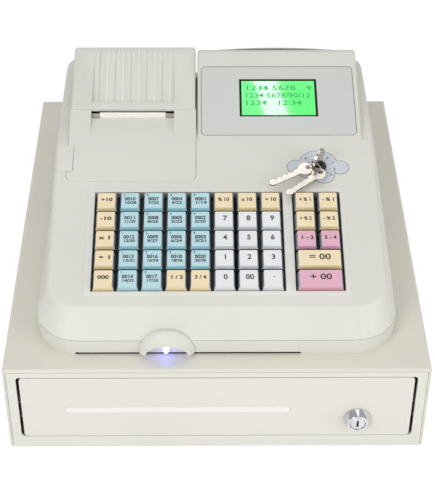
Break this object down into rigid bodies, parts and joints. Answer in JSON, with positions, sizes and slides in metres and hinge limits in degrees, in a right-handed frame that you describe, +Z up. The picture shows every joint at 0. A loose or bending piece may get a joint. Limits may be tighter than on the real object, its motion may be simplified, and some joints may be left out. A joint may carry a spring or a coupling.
{
  "type": "cash register with drawer",
  "caption": "Electronic cash register with a sloped keyboard, mode key, receipt printer and two displays, standing on a steel cash drawer with bill and coin places.",
  "frame": {"origin": "middle of the footprint, at the underside of the rubber feet", "axes": "+X to the operator's right, +Y to the rear, +Z up; the drawer opens towards -Y"},
  "size_m": [0.335, 0.387, 0.1998],
  "materials": {
    "ivory_steel": "ivory powder coat on sheet steel, satin",
    "chassis_steel": "ivory powder coat on sheet steel, satin",
    "foot_rubber": "black rubber, matt",
    "bare_steel": "plain steel",
    "housing_plastic": "warm pale grey moulding, finely textured",
    "lamp_lens": "clear lamp lens",
    "window_plastic": "smooth grey window",
    "display_glass": "backlit green display, opaque",
    "dark_plastic": "dark grey moulding",
    "lock_chrome": "bright plated",
    "receipt_paper": "plain white paper",
    "black_plug": "black lock face",
    "key_nickel": "nickel plated, worn bright",
    "cap_white": "white key cap",
    "cap_cream": "cream key cap",
    "cap_pink": "pink key cap",
    "cap_blue": "pale blue key caps on a dark plate"
  },
  "bodies": {
    "register": {"case_cover": "ivory_steel", "case_chassis": "chassis_steel", "foot_front_left": "foot_rubber", "foot_front_right": "foot_rubber", "foot_rear_left": "foot_rubber", "foot_rear_right": "foot_rubber", "drawer_latch": "bare_steel", "lower_housing": "housing_plastic", "upper_housing": "housing_plastic", "light_hood": "housing_plastic", "lamp": "lamp_lens", "display_window": "window_plastic", "lcd_module": "display_glass", "printer_frame": "dark_plastic", "print_head": "bare_steel", "tear_bar": "bare_steel", "mode_lock_body": "bare_steel", "keyboard_plate": "cap_blue"},
    "drawer": {"drawer_box": "chassis_steel", "drawer_front": "ivory_steel", "cash_tray": "dark_plastic", "drawer_lock_body": "lock_chrome"},
    "drawer_lock": {"drawer_lock_plug": "lock_chrome"},
    "clip_1": {"bill_clip_1": "dark_plastic"},
    "clip_2": {"bill_clip_2": "dark_plastic"},
    "clip_3": {"bill_clip_3": "dark_plastic"},
    "clip_4": {"bill_clip_4": "dark_plastic"},
    "cover": {"printer_cover": "housing_plastic", "paper_end": "receipt_paper"},
    "lid": {"paper_lid": "housing_plastic"},
    "release": {"cover_release": "housing_plastic"},
    "platen": {"platen_roller": "foot_rubber"},
    "roll": {"paper_roll": "receipt_paper"},
    "mast": {"customer_display_mast": "housing_plastic"},
    "customer_head": {"customer_display_head": "housing_plastic"},
    "mode_key_set": {"mode_lock_plug": "black_plug", "mode_key": "key_nickel", "key_ring": "key_nickel", "spare_key_left": "key_nickel", "spare_key_right": "key_nickel"},
    "r2_c6": {"key_r2_c6": "cap_white"},
    "r2_c7": {"key_r2_c7": "cap_white"},
    "r2_c8": {"key_r2_c8": "cap_white"},
    "r3_c6": {"key_r3_c6": "cap_white"},
    "r3_c7": {"key_r3_c7": "cap_white"},
    "r3_c8": {"key_r3_c8": "cap_white"},
    "r4_c6": {"key_r4_c6": "cap_white"},
    "r4_c7": {"key_r4_c7": "cap_white"},
    "r4_c8": {"key_r4_c8": "cap_white"},
    "r5_c6": {"key_r5_c6": "cap_white"},
    "r5_c7": {"key_r5_c7": "cap_white"},
    "r5_c8": {"key_r5_c8": "cap_white"},
    "side_r1_c1": {"side_key_r1_c1": "cap_cream"},
    "side_r1_c2": {"side_key_r1_c2": "cap_cream"},
    "side_r2_c1": {"side_key_r2_c1": "cap_cream"},
    "side_r2_c2": {"side_key_r2_c2": "cap_cream"},
    "side_r3_c1": {"side_key_r3_c1": "cap_pink"},
    "side_r3_c2": {"side_key_r3_c2": "cap_pink"},
    "wide_r4": {"wide_key_r4": "cap_cream"},
    "wide_r5": {"wide_key_r5": "cap_pink"}
  },
  "joints": [
    {"name": "drawer_slide", "type": "slide", "parent": "register", "child": "drawer", "axis": [0, -1, 0], "range_m": [0, 0.3]},
    {"name": "paper_lid_hinge", "type": "hinge", "parent": "register", "child": "lid", "pos_m": [-0.0705, 0.11, 0.1732], "axis": [-1, 0, 0], "range_deg": [0, 80]},
    {"name": "printer_cover_lift", "type": "slide", "parent": "register", "child": "cover", "axis": [0, -0.2699, 0.9629], "range_m": [0, 0.03]},
    {"name": "customer_display_lift", "type": "slide", "parent": "register", "child": "mast", "axis": [0, 0, 1], "range_m": [0, 0.045]},
    {"name": "customer_display_tilt", "type": "hinge", "parent": "mast", "child": "customer_head", "pos_m": [0.0548, 0.12426, 0.16], "axis": [-1, 0, 0], "range_deg": [0, 15]},
    {"name": "mode_key_turn", "type": "hinge", "parent": "register", "child": "mode_key_set", "pos_m": [0.0852, -0.02105, 0.16396], "axis": [0, -0.2699, 0.9629], "range_deg": [-60, 60]},
    {"name": "drawer_lock_turn", "type": "hinge", "parent": "drawer", "child": "drawer_lock", "pos_m": [0.112, -0.18, 0.0368], "axis": [0, -1, 0], "range_deg": [0, 90]},
    {"name": "cover_release_press", "type": "slide", "parent": "register", "child": "release", "axis": [0, 0.2699, -0.9629], "range_m": [0, 0.002], "stiffness_N_per_m": 400, "springref_m": -0.002},
    {"name": "bill_clip_1_lift", "type": "hinge", "parent": "drawer", "child": "clip_1", "pos_m": [-0.11175, 0.1545, 0.0667], "axis": [-1, 0, 0], "range_deg": [0, 32], "stiffness_Nm_per_rad": 0.05, "springref_deg": -20.05},
    {"name": "bill_clip_2_lift", "type": "hinge", "parent": "drawer", "child": "clip_2", "pos_m": [-0.03725, 0.1545, 0.0667], "axis": [-1, 0, 0], "range_deg": [0, 32], "stiffness_Nm_per_rad": 0.05, "springref_deg": -20.05},
    {"name": "bill_clip_3_lift", "type": "hinge", "parent": "drawer", "child": "clip_3", "pos_m": [0.03725, 0.1545, 0.0667], "axis": [-1, 0, 0], "range_deg": [0, 32], "stiffness_Nm_per_rad": 0.05, "springref_deg": -20.05},
    {"name": "bill_clip_4_lift", "type": "hinge", "parent": "drawer", "child": "clip_4", "pos_m": [0.11175, 0.1545, 0.0667], "axis": [-1, 0, 0], "range_deg": [0, 32], "stiffness_Nm_per_rad": 0.05, "springref_deg": -20.05},
    {"name": "platen_spin", "type": "hinge", "parent": "register", "child": "platen", "pos_m": [-0.07075, 0.045, 0.1665], "axis": [1, 0, 0], "continuous": true},
    {"name": "paper_roll_spin", "type": "hinge", "parent": "register", "child": "roll", "pos_m": [-0.07075, 0.0765, 0.1575], "axis": [1, 0, 0], "continuous": true},
    {"name": "press_r2_c6", "type": "slide", "parent": "register", "child": "r2_c6", "axis": [0, 0.2699, -0.9629], "range_m": [0, 0.003], "stiffness_N_per_m": 200, "springref_m": -0.003},
    {"name": "press_r2_c7", "type": "slide", "parent": "register", "child": "r2_c7", "axis": [0, 0.2699, -0.9629], "range_m": [0, 0.003], "stiffness_N_per_m": 200, "springref_m": -0.003},
    {"name": "press_r2_c8", "type": "slide", "parent": "register", "child": "r2_c8", "axis": [0, 0.2699, -0.9629], "range_m": [0, 0.003], "stiffness_N_per_m": 200, "springref_m": -0.003},
    {"name": "press_r3_c6", "type": "slide", "parent": "register", "child": "r3_c6", "axis": [0, 0.2699, -0.9629], "range_m": [0, 0.003], "stiffness_N_per_m": 200, "springref_m": -0.003},
    {"name": "press_r3_c7", "type": "slide", "parent": "register", "child": "r3_c7", "axis": [0, 0.2699, -0.9629], "range_m": [0, 0.003], "stiffness_N_per_m": 200, "springref_m": -0.003},
    {"name": "press_r3_c8", "type": "slide", "parent": "register", "child": "r3_c8", "axis": [0, 0.2699, -0.9629], "range_m": [0, 0.003], "stiffness_N_per_m": 200, "springref_m": -0.003},
    {"name": "press_r4_c6", "type": "slide", "parent": "register", "child": "r4_c6", "axis": [0, 0.2699, -0.9629], "range_m": [0, 0.003], "stiffness_N_per_m": 200, "springref_m": -0.003},
    {"name": "press_r4_c7", "type": "slide", "parent": "register", "child": "r4_c7", "axis": [0, 0.2699, -0.9629], "range_m": [0, 0.003], "stiffness_N_per_m": 200, "springref_m": -0.003},
    {"name": "press_r4_c8", "type": "slide", "parent": "register", "child": "r4_c8", "axis": [0, 0.2699, -0.9629], "range_m": [0, 0.003], "stiffness_N_per_m": 200, "springref_m": -0.003},
    {"name": "press_r5_c6", "type": "slide", "parent": "register", "child": "r5_c6", "axis": [0, 0.2699, -0.9629], "range_m": [0, 0.003], "stiffness_N_per_m": 200, "springref_m": -0.003},
    {"name": "press_r5_c7", "type": "slide", "parent": "register", "child": "r5_c7", "axis": [0, 0.2699, -0.9629], "range_m": [0, 0.003], "stiffness_N_per_m": 200, "springref_m": -0.003},
    {"name": "press_r5_c8", "type": "slide", "parent": "register", "child": "r5_c8", "axis": [0, 0.2699, -0.9629], "range_m": [0, 0.003], "stiffness_N_per_m": 200, "springref_m": -0.003},
    {"name": "press_side_r1_c1", "type": "slide", "parent": "register", "child": "side_r1_c1", "axis": [0, 0.2699, -0.9629], "range_m": [0, 0.003], "stiffness_N_per_m": 200, "springref_m": -0.003},
    {"name": "press_side_r1_c2", "type": "slide", "parent": "register", "child": "side_r1_c2", "axis": [0, 0.2699, -0.9629], "range_m": [0, 0.003], "stiffness_N_per_m": 200, "springref_m": -0.003},
    {"name": "press_side_r2_c1", "type": "slide", "parent": "register", "child": "side_r2_c1", "axis": [0, 0.2699, -0.9629], "range_m": [0, 0.003], "stiffness_N_per_m": 200, "springref_m": -0.003},
    {"name": "press_side_r2_c2", "type": "slide", "parent": "register", "child": "side_r2_c2", "axis": [0, 0.2699, -0.9629], "range_m": [0, 0.003], "stiffness_N_per_m": 200, "springref_m": -0.003},
    {"name": "press_side_r3_c1", "type": "slide", "parent": "register", "child": "side_r3_c1", "axis": [0, 0.2699, -0.9629], "range_m": [0, 0.003], "stiffness_N_per_m": 200, "springref_m": -0.003},
    {"name": "press_side_r3_c2", "type": "slide", "parent": "register", "child": "side_r3_c2", "axis": [0, 0.2699, -0.9629], "range_m": [0, 0.003], "stiffness_N_per_m": 200, "springref_m": -0.003},
    {"name": "press_wide_r4", "type": "slide", "parent": "register", "child": "wide_r4", "axis": [0, 0.2699, -0.9629], "range_m": [0, 0.003], "stiffness_N_per_m": 200, "springref_m": -0.003},
    {"name": "press_wide_r5", "type": "slide", "parent": "register", "child": "wide_r5", "axis": [0, 0.2699, -0.9629], "range_m": [0, 0.003], "stiffness_N_per_m": 200, "springref_m": -0.003}
  ]
}
